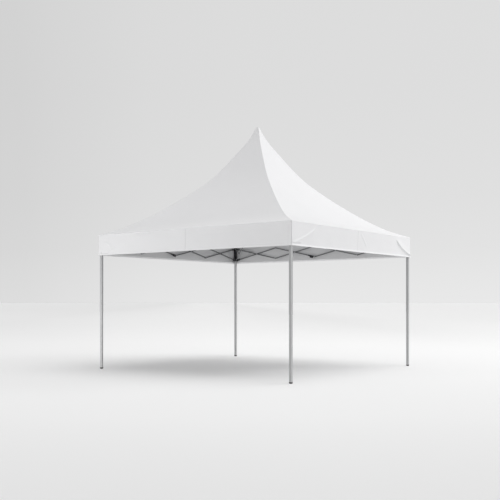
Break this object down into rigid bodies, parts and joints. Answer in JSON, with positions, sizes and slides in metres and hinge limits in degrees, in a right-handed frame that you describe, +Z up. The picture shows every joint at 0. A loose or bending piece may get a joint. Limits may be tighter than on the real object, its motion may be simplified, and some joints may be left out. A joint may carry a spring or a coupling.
{
  "type": "party tent",
  "caption": "Square folding party tent with a steep hollow-sided peaked roof, a deep valance, telescopic legs and a scissor frame.",
  "frame": {"origin": "on the ground under the middle of the tent, in the plane of the feet", "axes": "+Z up along the mast; +X along the front side to the right, -Y towards the front"},
  "size_m": [4.0634, 4.0513, 4.335],
  "materials": {
    "fabric": "matte",
    "leg_metal": "satin",
    "arm_metal": "satin",
    "mast_tube": "satin",
    "plastic": "matte"
  },
  "bodies": {
    "hub_and_roof": {"hub": "plastic", "canopy": "fabric"},
    "mast": {"mast": "mast_tube", "mast_head": "plastic"},
    "hub_strut_front_left": {"hub_strut_front_left": "arm_metal"},
    "roof_strut_front_left": {"roof_strut_front_left": "arm_metal"},
    "brace_front_left": {"brace_front_left": "arm_metal"},
    "leg_outer_front_left": {"leg_outer_front_left": "leg_metal"},
    "leg_inner_front_left": {"leg_inner_front_left": "leg_metal"},
    "slider_front_left": {"slider_front_left": "plastic"},
    "hub_strut_front_right": {"hub_strut_front_right": "arm_metal"},
    "roof_strut_front_right": {"roof_strut_front_right": "arm_metal"},
    "brace_front_right": {"brace_front_right": "arm_metal"},
    "leg_outer_front_right": {"leg_outer_front_right": "leg_metal"},
    "leg_inner_front_right": {"leg_inner_front_right": "leg_metal"},
    "slider_front_right": {"slider_front_right": "plastic"},
    "hub_strut_back_right": {"hub_strut_back_right": "arm_metal"},
    "roof_strut_back_right": {"roof_strut_back_right": "arm_metal"},
    "brace_back_right": {"brace_back_right": "arm_metal"},
    "leg_outer_back_right": {"leg_outer_back_right": "leg_metal"},
    "leg_inner_back_right": {"leg_inner_back_right": "leg_metal"},
    "slider_back_right": {"slider_back_right": "plastic"},
    "hub_strut_back_left": {"hub_strut_back_left": "arm_metal"},
    "roof_strut_back_left": {"roof_strut_back_left": "arm_metal"},
    "brace_back_left": {"brace_back_left": "arm_metal"},
    "leg_outer_back_left": {"leg_outer_back_left": "leg_metal"},
    "leg_inner_back_left": {"leg_inner_back_left": "leg_metal"},
    "slider_back_left": {"slider_back_left": "plastic"},
    "front_scissor_1_outer": {"front_scissor_1_outer": "arm_metal"},
    "front_scissor_1_inner": {"front_scissor_1_inner": "arm_metal"},
    "front_scissor_2_outer": {"front_scissor_2_outer": "arm_metal"},
    "front_scissor_2_inner": {"front_scissor_2_inner": "arm_metal"},
    "front_scissor_3_outer": {"front_scissor_3_outer": "arm_metal"},
    "front_scissor_3_inner": {"front_scissor_3_inner": "arm_metal"},
    "front_scissor_4_outer": {"front_scissor_4_outer": "arm_metal"},
    "front_scissor_4_inner": {"front_scissor_4_inner": "arm_metal"},
    "right_scissor_1_outer": {"right_scissor_1_outer": "arm_metal"},
    "right_scissor_1_inner": {"right_scissor_1_inner": "arm_metal"},
    "right_scissor_2_outer": {"right_scissor_2_outer": "arm_metal"},
    "right_scissor_2_inner": {"right_scissor_2_inner": "arm_metal"},
    "right_scissor_3_outer": {"right_scissor_3_outer": "arm_metal"},
    "right_scissor_3_inner": {"right_scissor_3_inner": "arm_metal"},
    "right_scissor_4_outer": {"right_scissor_4_outer": "arm_metal"},
    "right_scissor_4_inner": {"right_scissor_4_inner": "arm_metal"},
    "back_scissor_1_outer": {"back_scissor_1_outer": "arm_metal"},
    "back_scissor_1_inner": {"back_scissor_1_inner": "arm_metal"},
    "back_scissor_2_outer": {"back_scissor_2_outer": "arm_metal"},
    "back_scissor_2_inner": {"back_scissor_2_inner": "arm_metal"},
    "back_scissor_3_outer": {"back_scissor_3_outer": "arm_metal"},
    "back_scissor_3_inner": {"back_scissor_3_inner": "arm_metal"},
    "back_scissor_4_outer": {"back_scissor_4_outer": "arm_metal"},
    "back_scissor_4_inner": {"back_scissor_4_inner": "arm_metal"},
    "left_scissor_1_outer": {"left_scissor_1_outer": "arm_metal"},
    "left_scissor_1_inner": {"left_scissor_1_inner": "arm_metal"},
    "left_scissor_2_outer": {"left_scissor_2_outer": "arm_metal"},
    "left_scissor_2_inner": {"left_scissor_2_inner": "arm_metal"},
    "left_scissor_3_outer": {"left_scissor_3_outer": "arm_metal"},
    "left_scissor_3_inner": {"left_scissor_3_inner": "arm_metal"},
    "left_scissor_4_outer": {"left_scissor_4_outer": "arm_metal"},
    "left_scissor_4_inner": {"left_scissor_4_inner": "arm_metal"}
  },
  "joints": [
    {"name": "frame_fold", "type": "hinge", "parent": "hub_and_roof", "child": "hub_strut_front_left", "pos_m": [-0.03692, -0.03692, 2.3], "axis": [-0.7071, 0.7071, 0], "range_deg": [0, 73]},
    {"name": "knee_front_left", "type": "hinge", "parent": "hub_strut_front_left", "child": "roof_strut_front_left", "pos_m": [-0.64878, -0.64878, 2.49838], "axis": [0.7071, -0.7071, 0], "range_deg": [0, 146]},
    {"name": "brace_turn_front_left", "type": "hinge", "parent": "roof_strut_front_left", "child": "brace_front_left", "pos_m": [-1.59528, -1.59528, 2.1915], "axis": [-0.7071, 0.7071, 0], "range_deg": [0, 146]},
    {"name": "leg_turn_front_left", "type": "hinge", "parent": "brace_front_left", "child": "leg_outer_front_left", "pos_m": [-1.92992, -1.92992, 2.3], "axis": [0.7071, -0.7071, 0], "range_deg": [0, 73]},
    {"name": "slider_turn_front_left", "type": "hinge", "parent": "roof_strut_front_left", "child": "slider_front_left", "pos_m": [-1.92992, -1.92992, 2.083], "axis": [-0.7071, 0.7071, 0], "range_deg": [0, 73]},
    {"name": "leg_slide_front_left", "type": "slide", "parent": "leg_outer_front_left", "child": "leg_inner_front_left", "axis": [0, 0, 1], "range_m": [0, 0.9]},
    {"name": "hub_strut_turn_front_right", "type": "hinge", "parent": "hub_and_roof", "child": "hub_strut_front_right", "pos_m": [0.03692, -0.03692, 2.3], "axis": [-0.7071, -0.7071, 0], "range_deg": [0, 73]},
    {"name": "knee_front_right", "type": "hinge", "parent": "hub_strut_front_right", "child": "roof_strut_front_right", "pos_m": [0.64878, -0.64878, 2.49838], "axis": [0.7071, 0.7071, 0], "range_deg": [0, 146]},
    {"name": "brace_turn_front_right", "type": "hinge", "parent": "roof_strut_front_right", "child": "brace_front_right", "pos_m": [1.59528, -1.59528, 2.1915], "axis": [-0.7071, -0.7071, 0], "range_deg": [0, 146]},
    {"name": "leg_turn_front_right", "type": "hinge", "parent": "brace_front_right", "child": "leg_outer_front_right", "pos_m": [1.92992, -1.92992, 2.3], "axis": [0.7071, 0.7071, 0], "range_deg": [0, 73]},
    {"name": "slider_turn_front_right", "type": "hinge", "parent": "roof_strut_front_right", "child": "slider_front_right", "pos_m": [1.92992, -1.92992, 2.083], "axis": [-0.7071, -0.7071, 0], "range_deg": [0, 73]},
    {"name": "leg_slide_front_right", "type": "slide", "parent": "leg_outer_front_right", "child": "leg_inner_front_right", "axis": [0, 0, 1], "range_m": [0, 0.9]},
    {"name": "hub_strut_turn_back_right", "type": "hinge", "parent": "hub_and_roof", "child": "hub_strut_back_right", "pos_m": [0.03692, 0.03692, 2.3], "axis": [0.7071, -0.7071, 0], "range_deg": [0, 73]},
    {"name": "knee_back_right", "type": "hinge", "parent": "hub_strut_back_right", "child": "roof_strut_back_right", "pos_m": [0.64878, 0.64878, 2.49838], "axis": [-0.7071, 0.7071, 0], "range_deg": [0, 146]},
    {"name": "brace_turn_back_right", "type": "hinge", "parent": "roof_strut_back_right", "child": "brace_back_right", "pos_m": [1.59528, 1.59528, 2.1915], "axis": [0.7071, -0.7071, 0], "range_deg": [0, 146]},
    {"name": "leg_turn_back_right", "type": "hinge", "parent": "brace_back_right", "child": "leg_outer_back_right", "pos_m": [1.92992, 1.92992, 2.3], "axis": [-0.7071, 0.7071, 0], "range_deg": [0, 73]},
    {"name": "slider_turn_back_right", "type": "hinge", "parent": "roof_strut_back_right", "child": "slider_back_right", "pos_m": [1.92992, 1.92992, 2.083], "axis": [0.7071, -0.7071, 0], "range_deg": [0, 73]},
    {"name": "leg_slide_back_right", "type": "slide", "parent": "leg_outer_back_right", "child": "leg_inner_back_right", "axis": [0, 0, 1], "range_m": [0, 0.9]},
    {"name": "hub_strut_turn_back_left", "type": "hinge", "parent": "hub_and_roof", "child": "hub_strut_back_left", "pos_m": [-0.03692, 0.03692, 2.3], "axis": [0.7071, 0.7071, 0], "range_deg": [0, 73]},
    {"name": "knee_back_left", "type": "hinge", "parent": "hub_strut_back_left", "child": "roof_strut_back_left", "pos_m": [-0.64878, 0.64878, 2.49838], "axis": [-0.7071, -0.7071, 0], "range_deg": [0, 146]},
    {"name": "brace_turn_back_left", "type": "hinge", "parent": "roof_strut_back_left", "child": "brace_back_left", "pos_m": [-1.59528, 1.59528, 2.1915], "axis": [0.7071, 0.7071, 0], "range_deg": [0, 146]},
    {"name": "leg_turn_back_left", "type": "hinge", "parent": "brace_back_left", "child": "leg_outer_back_left", "pos_m": [-1.92992, 1.92992, 2.3], "axis": [-0.7071, -0.7071, 0], "range_deg": [0, 73]},
    {"name": "slider_turn_back_left", "type": "hinge", "parent": "roof_strut_back_left", "child": "slider_back_left", "pos_m": [-1.92992, 1.92992, 2.083], "axis": [0.7071, 0.7071, 0], "range_deg": [0, 73]},
    {"name": "leg_slide_back_left", "type": "slide", "parent": "leg_outer_back_left", "child": "leg_inner_back_left", "axis": [0, 0, 1], "range_m": [0, 0.9]},
    {"name": "mast_slide", "type": "slide", "parent": "hub_and_roof", "child": "mast", "axis": [0, 0, 1], "range_m": [-0.12, 0], "stiffness_N_per_m": 800, "springref_m": 0.05},
    {"name": "front_scissor_1_outer_turn", "type": "hinge", "parent": "leg_outer_front_left", "child": "front_scissor_1_outer", "pos_m": [-1.893, -1.978, 2.3], "axis": [0, 1, 0], "range_deg": [0, 73]},
    {"name": "front_scissor_1_inner_turn", "type": "hinge", "parent": "front_scissor_1_outer", "child": "front_scissor_1_inner", "pos_m": [-1.41975, -1.978, 2.1915], "axis": [0, -1, 0], "range_deg": [0, 146]},
    {"name": "front_scissor_2_outer_turn", "type": "hinge", "parent": "front_scissor_1_inner", "child": "front_scissor_2_outer", "pos_m": [-0.9465, -1.978, 2.3], "axis": [0, 1, 0], "range_deg": [0, 146]},
    {"name": "front_scissor_2_inner_turn", "type": "hinge", "parent": "front_scissor_2_outer", "child": "front_scissor_2_inner", "pos_m": [-0.47325, -1.978, 2.1915], "axis": [0, -1, 0], "range_deg": [0, 146]},
    {"name": "front_scissor_4_inner_turn", "type": "hinge", "parent": "leg_outer_front_right", "child": "front_scissor_4_inner", "pos_m": [1.893, -1.978, 2.3], "axis": [0, -1, 0], "range_deg": [0, 73]},
    {"name": "front_scissor_4_outer_turn", "type": "hinge", "parent": "front_scissor_4_inner", "child": "front_scissor_4_outer", "pos_m": [1.41975, -1.978, 2.1915], "axis": [0, 1, 0], "range_deg": [0, 146]},
    {"name": "front_scissor_3_inner_turn", "type": "hinge", "parent": "front_scissor_4_outer", "child": "front_scissor_3_inner", "pos_m": [0.9465, -1.978, 2.3], "axis": [0, -1, 0], "range_deg": [0, 146]},
    {"name": "front_scissor_3_outer_turn", "type": "hinge", "parent": "front_scissor_3_inner", "child": "front_scissor_3_outer", "pos_m": [0.47325, -1.978, 2.1915], "axis": [0, 1, 0], "range_deg": [0, 146]},
    {"name": "right_scissor_1_outer_turn", "type": "hinge", "parent": "leg_outer_front_right", "child": "right_scissor_1_outer", "pos_m": [1.978, -1.893, 2.3], "axis": [-1, 0, 0], "range_deg": [0, 73]},
    {"name": "right_scissor_1_inner_turn", "type": "hinge", "parent": "right_scissor_1_outer", "child": "right_scissor_1_inner", "pos_m": [1.978, -1.41975, 2.1915], "axis": [1, 0, 0], "range_deg": [0, 146]},
    {"name": "right_scissor_2_outer_turn", "type": "hinge", "parent": "right_scissor_1_inner", "child": "right_scissor_2_outer", "pos_m": [1.978, -0.9465, 2.3], "axis": [-1, 0, 0], "range_deg": [0, 146]},
    {"name": "right_scissor_2_inner_turn", "type": "hinge", "parent": "right_scissor_2_outer", "child": "right_scissor_2_inner", "pos_m": [1.978, -0.47325, 2.1915], "axis": [1, 0, 0], "range_deg": [0, 146]},
    {"name": "right_scissor_4_inner_turn", "type": "hinge", "parent": "leg_outer_back_right", "child": "right_scissor_4_inner", "pos_m": [1.978, 1.893, 2.3], "axis": [1, 0, 0], "range_deg": [0, 73]},
    {"name": "right_scissor_4_outer_turn", "type": "hinge", "parent": "right_scissor_4_inner", "child": "right_scissor_4_outer", "pos_m": [1.978, 1.41975, 2.1915], "axis": [-1, 0, 0], "range_deg": [0, 146]},
    {"name": "right_scissor_3_inner_turn", "type": "hinge", "parent": "right_scissor_4_outer", "child": "right_scissor_3_inner", "pos_m": [1.978, 0.9465, 2.3], "axis": [1, 0, 0], "range_deg": [0, 146]},
    {"name": "right_scissor_3_outer_turn", "type": "hinge", "parent": "right_scissor_3_inner", "child": "right_scissor_3_outer", "pos_m": [1.978, 0.47325, 2.1915], "axis": [-1, 0, 0], "range_deg": [0, 146]},
    {"name": "back_scissor_1_outer_turn", "type": "hinge", "parent": "leg_outer_back_right", "child": "back_scissor_1_outer", "pos_m": [1.893, 1.978, 2.3], "axis": [0, -1, 0], "range_deg": [0, 73]},
    {"name": "back_scissor_1_inner_turn", "type": "hinge", "parent": "back_scissor_1_outer", "child": "back_scissor_1_inner", "pos_m": [1.41975, 1.978, 2.1915], "axis": [0, 1, 0], "range_deg": [0, 146]},
    {"name": "back_scissor_2_outer_turn", "type": "hinge", "parent": "back_scissor_1_inner", "child": "back_scissor_2_outer", "pos_m": [0.9465, 1.978, 2.3], "axis": [0, -1, 0], "range_deg": [0, 146]},
    {"name": "back_scissor_2_inner_turn", "type": "hinge", "parent": "back_scissor_2_outer", "child": "back_scissor_2_inner", "pos_m": [0.47325, 1.978, 2.1915], "axis": [0, 1, 0], "range_deg": [0, 146]},
    {"name": "back_scissor_4_inner_turn", "type": "hinge", "parent": "leg_outer_back_left", "child": "back_scissor_4_inner", "pos_m": [-1.893, 1.978, 2.3], "axis": [0, 1, 0], "range_deg": [0, 73]},
    {"name": "back_scissor_4_outer_turn", "type": "hinge", "parent": "back_scissor_4_inner", "child": "back_scissor_4_outer", "pos_m": [-1.41975, 1.978, 2.1915], "axis": [0, -1, 0], "range_deg": [0, 146]},
    {"name": "back_scissor_3_inner_turn", "type": "hinge", "parent": "back_scissor_4_outer", "child": "back_scissor_3_inner", "pos_m": [-0.9465, 1.978, 2.3], "axis": [0, 1, 0], "range_deg": [0, 146]},
    {"name": "back_scissor_3_outer_turn", "type": "hinge", "parent": "back_scissor_3_inner", "child": "back_scissor_3_outer", "pos_m": [-0.47325, 1.978, 2.1915], "axis": [0, -1, 0], "range_deg": [0, 146]},
    {"name": "left_scissor_1_outer_turn", "type": "hinge", "parent": "leg_outer_back_left", "child": "left_scissor_1_outer", "pos_m": [-1.978, 1.893, 2.3], "axis": [1, 0, 0], "range_deg": [0, 73]},
    {"name": "left_scissor_1_inner_turn", "type": "hinge", "parent": "left_scissor_1_outer", "child": "left_scissor_1_inner", "pos_m": [-1.978, 1.41975, 2.1915], "axis": [-1, 0, 0], "range_deg": [0, 146]},
    {"name": "left_scissor_2_outer_turn", "type": "hinge", "parent": "left_scissor_1_inner", "child": "left_scissor_2_outer", "pos_m": [-1.978, 0.9465, 2.3], "axis": [1, 0, 0], "range_deg": [0, 146]},
    {"name": "left_scissor_2_inner_turn", "type": "hinge", "parent": "left_scissor_2_outer", "child": "left_scissor_2_inner", "pos_m": [-1.978, 0.47325, 2.1915], "axis": [-1, 0, 0], "range_deg": [0, 146]},
    {"name": "left_scissor_4_inner_turn", "type": "hinge", "parent": "leg_outer_front_left", "child": "left_scissor_4_inner", "pos_m": [-1.978, -1.893, 2.3], "axis": [-1, 0, 0], "range_deg": [0, 73]},
    {"name": "left_scissor_4_outer_turn", "type": "hinge", "parent": "left_scissor_4_inner", "child": "left_scissor_4_outer", "pos_m": [-1.978, -1.41975, 2.1915], "axis": [1, 0, 0], "range_deg": [0, 146]},
    {"name": "left_scissor_3_inner_turn", "type": "hinge", "parent": "left_scissor_4_outer", "child": "left_scissor_3_inner", "pos_m": [-1.978, -0.9465, 2.3], "axis": [-1, 0, 0], "range_deg": [0, 146]},
    {"name": "left_scissor_3_outer_turn", "type": "hinge", "parent": "left_scissor_3_inner", "child": "left_scissor_3_outer", "pos_m": [-1.978, -0.47325, 2.1915], "axis": [1, 0, 0], "range_deg": [0, 146]}
  ],
  "couplings": [
    {"joint": "knee_front_left", "follows": "frame_fold", "ratio": 2},
    {"joint": "brace_turn_front_left", "follows": "frame_fold", "ratio": 2},
    {"joint": "leg_turn_front_left", "follows": "frame_fold", "ratio": 1},
    {"joint": "slider_turn_front_left", "follows": "frame_fold", "ratio": 1},
    {"joint": "hub_strut_turn_front_right", "follows": "frame_fold", "ratio": 1},
    {"joint": "knee_front_right", "follows": "frame_fold", "ratio": 2},
    {"joint": "brace_turn_front_right", "follows": "frame_fold", "ratio": 2},
    {"joint": "leg_turn_front_right", "follows": "frame_fold", "ratio": 1},
    {"joint": "slider_turn_front_right", "follows": "frame_fold", "ratio": 1},
    {"joint": "hub_strut_turn_back_right", "follows": "frame_fold", "ratio": 1},
    {"joint": "knee_back_right", "follows": "frame_fold", "ratio": 2},
    {"joint": "brace_turn_back_right", "follows": "frame_fold", "ratio": 2},
    {"joint": "leg_turn_back_right", "follows": "frame_fold", "ratio": 1},
    {"joint": "slider_turn_back_right", "follows": "frame_fold", "ratio": 1},
    {"joint": "hub_strut_turn_back_left", "follows": "frame_fold", "ratio": 1},
    {"joint": "knee_back_left", "follows": "frame_fold", "ratio": 2},
    {"joint": "brace_turn_back_left", "follows": "frame_fold", "ratio": 2},
    {"joint": "leg_turn_back_left", "follows": "frame_fold", "ratio": 1},
    {"joint": "slider_turn_back_left", "follows": "frame_fold", "ratio": 1},
    {"joint": "front_scissor_1_outer_turn", "follows": "frame_fold", "ratio": 1},
    {"joint": "front_scissor_1_inner_turn", "follows": "frame_fold", "ratio": 2},
    {"joint": "front_scissor_2_outer_turn", "follows": "frame_fold", "ratio": 2},
    {"joint": "front_scissor_2_inner_turn", "follows": "frame_fold", "ratio": 2},
    {"joint": "front_scissor_4_inner_turn", "follows": "frame_fold", "ratio": 1},
    {"joint": "front_scissor_4_outer_turn", "follows": "frame_fold", "ratio": 2},
    {"joint": "front_scissor_3_inner_turn", "follows": "frame_fold", "ratio": 2},
    {"joint": "front_scissor_3_outer_turn", "follows": "frame_fold", "ratio": 2},
    {"joint": "right_scissor_1_outer_turn", "follows": "frame_fold", "ratio": 1},
    {"joint": "right_scissor_1_inner_turn", "follows": "frame_fold", "ratio": 2},
    {"joint": "right_scissor_2_outer_turn", "follows": "frame_fold", "ratio": 2},
    {"joint": "right_scissor_2_inner_turn", "follows": "frame_fold", "ratio": 2},
    {"joint": "right_scissor_4_inner_turn", "follows": "frame_fold", "ratio": 1},
    {"joint": "right_scissor_4_outer_turn", "follows": "frame_fold", "ratio": 2},
    {"joint": "right_scissor_3_inner_turn", "follows": "frame_fold", "ratio": 2},
    {"joint": "right_scissor_3_outer_turn", "follows": "frame_fold", "ratio": 2},
    {"joint": "back_scissor_1_outer_turn", "follows": "frame_fold", "ratio": 1},
    {"joint": "back_scissor_1_inner_turn", "follows": "frame_fold", "ratio": 2},
    {"joint": "back_scissor_2_outer_turn", "follows": "frame_fold", "ratio": 2},
    {"joint": "back_scissor_2_inner_turn", "follows": "frame_fold", "ratio": 2},
    {"joint": "back_scissor_4_inner_turn", "follows": "frame_fold", "ratio": 1},
    {"joint": "back_scissor_4_outer_turn", "follows": "frame_fold", "ratio": 2},
    {"joint": "back_scissor_3_inner_turn", "follows": "frame_fold", "ratio": 2},
    {"joint": "back_scissor_3_outer_turn", "follows": "frame_fold", "ratio": 2},
    {"joint": "left_scissor_1_outer_turn", "follows": "frame_fold", "ratio": 1},
    {"joint": "left_scissor_1_inner_turn", "follows": "frame_fold", "ratio": 2},
    {"joint": "left_scissor_2_outer_turn", "follows": "frame_fold", "ratio": 2},
    {"joint": "left_scissor_2_inner_turn", "follows": "frame_fold", "ratio": 2},
    {"joint": "left_scissor_4_inner_turn", "follows": "frame_fold", "ratio": 1},
    {"joint": "left_scissor_4_outer_turn", "follows": "frame_fold", "ratio": 2},
    {"joint": "left_scissor_3_inner_turn", "follows": "frame_fold", "ratio": 2},
    {"joint": "left_scissor_3_outer_turn", "follows": "frame_fold", "ratio": 2}
  ]
}
